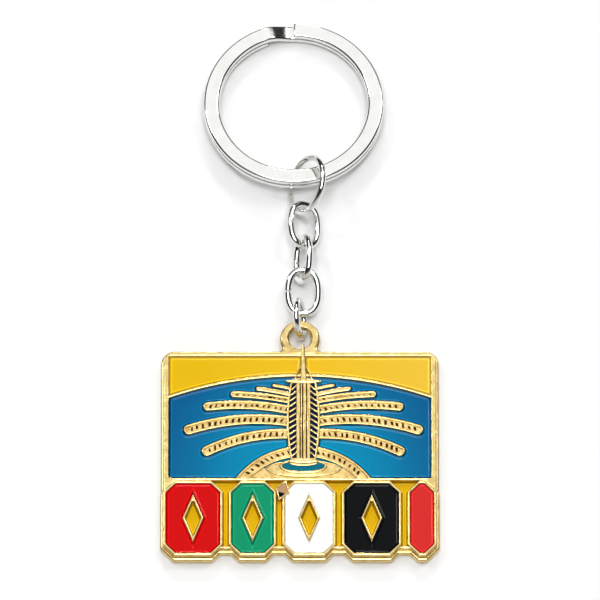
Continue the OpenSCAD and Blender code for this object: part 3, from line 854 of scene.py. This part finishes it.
def make_water_enamels():
    """Lagoon at the tower's foot and the crescent bays beside the plinth."""
    a, b = LAGOON_SIZE[0] / 2, LAGOON_SIZE[1] / 2
    room = lambda x, y: (1 - np.hypot((x - TOWER_X) / a, (y - LAGOON_C[1]) / b)) * b
    lagoon = fill((TOWER_X - a, LAGOON_C[1] - b), (TOWER_X + a, LAGOON_C[1] + b), room, CELL_LOW,
                  LAGOON_LEVEL, climb=0.12, band=0.4, cell=0.1)
    piece("lagoon_fill", [lagoon], teal, "charm", ["lagoon_enamel"], flat=False)
    r = MOUND_R - MOUND_BAND + 0.05
    spread = math.acos(6.6 / r), math.acos(2.0 / r)
    crescent = arc(MOUND_C, r, *spread) + [(TOWER_X + 2.0, PLINTH_C[1]), (TOWER_X + 6.0, PLINTH_C[1])]
    for which, turn in (("left", flipped), ("right", list)):
        pad = raised([turn(crescent)], side(CELL_LOW, BAY_LEVEL, 0, 0.08, 3))
        piece(f"bay_fill_{which}", [pad], teal, "charm", [f"bay_enamel_{which}"])


def make_window_enamels():
    """Dark window bands behind the tower's bars."""
    heights = [TOWER_LOW + 0.4 + (TOWER_H - 0.8) * k / 16 for k in range(17)]
    strip = ([(PIER_EDGE, y) for y in heights[::-1]]
             + [(TOWER_X + tower_half(y) - 0.34, y) for y in heights])
    for which, turn in (("left", flipped), ("right", list)):
        pad = raised([turn(strip)], side(WINDOW_LOW, WINDOW_LEVEL, 0, 0.04, 2))
        piece(f"window_fill_{which}", [pad], navy, "charm", [f"window_enamel_{which}"])


def make_tile_enamels():
    """A fill in each tile."""
    shades = (("red", red), ("green", green), ("white", white), ("black", black), ("coral", coral))
    for i, (shade, finish) in enumerate(shades):
        x0, x1 = tile_sides(i)
        tile = fill((x0 + 0.3, -CHARM_H + 0.3), (x1 - 0.3, TILE_TOP - 0.3), lambda x, y: tile_room(i, x, y),
                    CELL_LOW, TILE_LEVEL, climb=0.15, band=0.66, cell=0.14)
        piece(f"tile_fill_{shade}", [tile], finish, "charm", [f"tile_enamel_{shade}"],
              flat=False)


def make_ground_enamel():
    """The deeper fill in the gaps between the tiles and in their gem windows."""
    fills = []
    for i in range(LAST_TILE):
        gap = ((tile_sides(i)[1] - TILE_CUT, GROUND_DROP - CHARM_H + 0.3),
               (tile_sides(i + 1)[0] + TILE_CUT, TILE_TOP + 0.2), lambda x, y: gap_room(i, x, y))
        cx, cy = tile_centre(i)
        window = ((cx - 1.5, cy - 3.4), (cx + 1.5, cy + 3.4), lambda x, y: gem_room(x, y, (cx, cy), GEM))
        fills += [fill(low, high, room, STEP_T - 0.1, GROUND_LEVEL, climb=0.2, band=0.5, cell=0.12)
                  for low, high, room in (gap, window)]
    piece("ground_fill", fills, ground_yellow, "charm", ["ground_enamel"], flat=False)


def make_lozenge_enamels():
    """Two fills in the leaning lozenge."""
    c, s = math.cos(LOZENGE_LEAN), math.sin(LOZENGE_LEAN)
    a = LOZENGE_SIZE[0] / 2 - 0.2
    b = a * LOZENGE_SIZE[1] / LOZENGE_SIZE[0]
    right, left = (a * (1 + LOZENGE_SPLIT / b), LOZENGE_SPLIT), (-a * (1 + LOZENGE_SPLIT / b), LOZENGE_SPLIT)
    halves = (("beige", beige, LOZENGE_BEIGE_LEVEL, [left, right, (a, 0), (0, b), (-a, 0)]),
              ("black", black, LOZENGE_BLACK_LEVEL, [(0, -b), right, left]))
    for shade, finish, level, corners in halves:
        outline = [(LOZENGE_C[0] + c * x + s * y, LOZENGE_C[1] - s * x + c * y) for x, y in corners]
        pad = raised([outline], side(WALL_LOW, level, 0, 0.05, 3))
        piece(f"lozenge_fill_{shade}", [pad], finish, "charm",
              [f"lozenge_enamel_{shade}"])


# ---- Chain and split ring ----

def laid(node, roll=0.0, pitch=0.0):
    """Place of a chain piece: the middle of its node in the design, rolled about Y, pitched about X."""
    low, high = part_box(node)
    return (Matrix.Translation((low + high) / 2 / MM) @ Matrix.Rotation(math.radians(pitch), 4, "X")
            @ Matrix.Rotation(math.radians(roll), 4, "Y"))


def round_section(d, sides=28):
    """Section of a round wire."""
    return [(d / 2 * math.cos(2 * math.pi * k / sides), d / 2 * math.sin(2 * math.pi * k / sides))
            for k in range(sides)]


def eased(stations, ease=0.05):
    """Stations with both ends drawn in a little, where the cutter left a burnished edge."""
    (first, *first_axes, _), (last, *last_axes, _) = stations[0], stations[-1]
    step_in = (stations[1][0] - first).normalized() * ease
    step_out = (last - stations[-2][0]).normalized() * ease
    shrink = 0.86
    return ([(first, *first_axes, shrink), (first + step_in, *first_axes, 1.0)]
            + stations[1:-1]
            + [(last - step_out, *last_axes, 1.0), (last, *last_axes, shrink)])


def jump_ring(d, wire, cut_at):
    """Ring of round wire, cut through at the angle cut_at."""
    r = (d - wire) / 2
    gap = 2 * math.asin(CUT_W / 2 / r)
    start = math.radians(cut_at) + gap / 2
    count = 120
    stations = []
    for k in range(count + 1):
        a = start + (2 * math.pi - gap) * k / count
        out = Vector((math.cos(a), math.sin(a), 0))
        stations.append((out * r, out, Vector((0, 0, 1)), 1.0))
    return swept(eased(stations), round_section(wire))


def chain_link():
    """Oval link of round wire, its ends butted in the middle of the left limb."""
    half_w, half_l = (LINK_W - LINK_WIRE) / 2, (LINK_L - LINK_WIRE) / 2
    power, count = 2 / 2.4, 160    # a little squarer than an ellipse
    gap = CUT_W / 4 / half_l
    path = []
    for k in range(count + 1):
        a = math.pi - gap - (2 * math.pi - 2 * gap) * k / count
        c, s = math.cos(a), math.sin(a)
        path.append(Vector((half_w * math.copysign(abs(c) ** power, c),
                            half_l * math.copysign(abs(s) ** power, s), 0)))
    stations = []
    for k, at in enumerate(path):
        along = (path[min(k + 1, count)] - path[max(k - 1, 0)]).normalized()
        stations.append((at, Vector((-along.y, along.x, 0)), Vector((0, 0, 1)), 1.0))
    return swept(eased(stations), round_section(LINK_WIRE))


def make_chain():
    """Jump rings and links, each turned as it lies."""
    rings = (("lower_jump_ring", "lower_ring", LOWER_RING_D, -40, 78),
             ("upper_jump_ring", "upper_ring", UPPER_RING_D, 185, -55))
    for node, body, d, cut_at, roll in rings:
        piece(f"{node}_wire", [jump_ring(d, RING_WIRE, cut_at)], nickel, body, [node],
              laid(node, roll), flat=False)
    links = (("chain_link_1", "link_1", 28, 0), ("chain_link_2", "link_2", -65, 0),
             ("chain_link_3", "link_3", 4, 8))
    for node, body, roll, pitch in links:
        piece(f"{node}_wire", [chain_link()], nickel, body, [node],
              laid(node, roll, pitch), flat=False)


def make_split_ring():
    """Two turns of flat wire. The upper turn drops to the lower one just before it closes."""
    turn_t = (SPLIT_T - TURN_GAP) / 2
    r = (SPLIT_D - SPLIT_W) / 2
    u, v = SPLIT_W / 2, turn_t / 2
    section = rounded([(x, z, SPLIT_EDGE_R) for x, z in ((-u, -v), (u, -v), (u, v), (-u, v))], step=18)
    up, stations = Vector((0, 0, 1)), []
    ramp_from, step = 340, 2
    for a in range(0, 360 + ramp_from + 1, step):
        share = min(max((a - ramp_from) / (360 - ramp_from), 0), 1)
        rise = math.cos(math.pi * share) * (turn_t + TURN_GAP) / 2
        turn = math.radians(a)
        out = Vector((math.sin(turn), math.cos(turn), 0))
        stations.append((out * r + up * rise, out, up, 1.0))
    ring = swept(eased(stations, 0.1), section[::-1])
    piece("split_ring_wire", [ring], nickel, "split_ring", ["split_ring"],
          laid("split_ring", 0, SPLIT_PITCH))


# ---- Studio ----

def make_floor():
    """Plain pale floor of matt white board. Its fibres are drawn coarser, as a faint change of tone."""
    finish, tree, shader = new_finish("matt_white_board")
    where = add(tree, "ShaderNodeTexCoord").outputs["Object"]
    fibre = add(tree, "ShaderNodeTexNoise", {"Vector": where, "Scale": 1 / (2.5 * MM), "Detail": 2.0})
    tone = add(tree, "ShaderNodeMix", {"Factor": fibre.outputs["Fac"], "A": linear("#f6f6f6"),
                                       "B": linear("#f9f9f9")}, data_type="RGBA")
    tree.links.new(tone.outputs["Result"], shader.inputs["Base Color"])
    shader.inputs["Roughness"].default_value = 0.9
    mesh = bpy.data.meshes.new("floor")
    half = 4.0
    mesh.from_pydata([(-half, -half, 0), (half, -half, 0), (half, half, 0), (-half, half, 0)], [],
                     [(0, 1, 2, 3)])
    mesh.materials.append(finish)
    floor = bpy.data.objects.new("floor", mesh)
    floor.location.z = cad_box[0].z - 0.02 * MM
    bpy.context.scene.collection.objects.link(floor)


def make_light(name, at, size, watts):
    """Softbox aimed at the keychain. Places and sizes are in metres."""
    lamp = bpy.data.lights.new(name, "AREA")
    lamp.shape = "RECTANGLE"
    lamp.size, lamp.size_y = size
    lamp.energy = watts
    made = bpy.data.objects.new(name, lamp)
    made.visible_camera = False
    made.location = at
    made.rotation_euler = (-Vector(at)).to_track_quat("-Z", "Y").to_euler()
    bpy.context.scene.collection.objects.link(made)


def make_studio():
    """A round white skylight high behind the keychain, a pale wall low in front of it, and darkness
    between them, which draws the dark lines along rounded metal edges. Softboxes light the floor."""
    world = bpy.data.worlds.new("studio")
    bpy.context.scene.world = world
    world.use_nodes = True
    tree = world.node_tree
    tree.nodes.clear()
    where = add(tree, "ShaderNodeTexCoord").outputs["Generated"]
    lean = math.radians(22.5)      # the charm's flat faces show the camera this part of the sky
    near_middle = add(tree, "ShaderNodeVectorMath", {0: where, 1: (0, math.sin(lean), math.cos(lean))},
                      operation="DOT_PRODUCT")
    sky_edge, sky_full = 0.79, 0.93    # cosines of the angles where the skylight ends and is full
    skylight = add(tree, "ShaderNodeMapRange", {"Value": near_middle.outputs["Value"], "From Min": sky_edge,
                                                "From Max": sky_full, "To Min": 0.03, "To Max": 1.12})
    near_front = add(tree, "ShaderNodeVectorMath", {0: where, 1: (0, -1, -0.95)}, operation="DOT_PRODUCT")
    wall = add(tree, "ShaderNodeMapRange", {"Value": near_front.outputs["Value"], "From Min": 0.0,
                                            "From Max": 0.35, "To Min": 0.0, "To Max": 0.6})
    glow = add(tree, "ShaderNodeMath", {0: skylight.outputs["Result"], 1: wall.outputs["Result"]},
               operation="MAXIMUM")
    room = add(tree, "ShaderNodeBackground", {"Color": glow.outputs["Value"]})
    backdrop = add(tree, "ShaderNodeBackground", {"Color": (0.95, 0.95, 0.95, 1)})
    seen = add(tree, "ShaderNodeLightPath").outputs["Is Camera Ray"]
    both = add(tree, "ShaderNodeMixShader", {0: seen, 1: room.outputs[0], 2: backdrop.outputs[0]})
    add(tree, "ShaderNodeOutputWorld", {"Surface": both.outputs[0]})
    make_light("softbox_above", (0.0, -0.25, 2.2), (1.0, 1.0), 24)
    make_light("softbox_right", (1.1, 1.3, 2.0), (0.4, 0.6), 9)
    make_light("softbox_left", (-1.3, 1.0, 1.9), (0.2, 0.6), 8)
    make_light("bar_behind", (0.0, 2.2, 1.5), (0.5, 0.05), 9)


def make_camera():
    """Long lens, looking down at the charm's side of the keychain. Lengths are in metres."""
    elevation, distance, frame_w = math.radians(67.5), 3.0, 0.0994
    aim = Vector((0.0, -0.0021, 0.0025))
    lens = bpy.data.cameras.new("camera")
    lens.sensor_width = 36
    lens.lens = lens.sensor_width * distance / frame_w
    lens.clip_start = 0.01
    camera = bpy.data.objects.new("camera", lens)
    camera.location = aim + distance * Vector((0, -math.cos(elevation), math.sin(elevation)))
    camera.rotation_euler = (aim - camera.location).to_track_quat("-Z", "Y").to_euler()
    bpy.context.scene.collection.objects.link(camera)
    bpy.context.scene.camera = camera
    bpy.context.scene.view_settings.view_transform = "Standard"


make_camera()
make_charm()
make_picture_enamels()
make_water_enamels()
make_window_enamels()
make_tile_enamels()
make_ground_enamel()
make_lozenge_enamels()
make_chain()
make_split_ring()
make_floor()
make_studio()
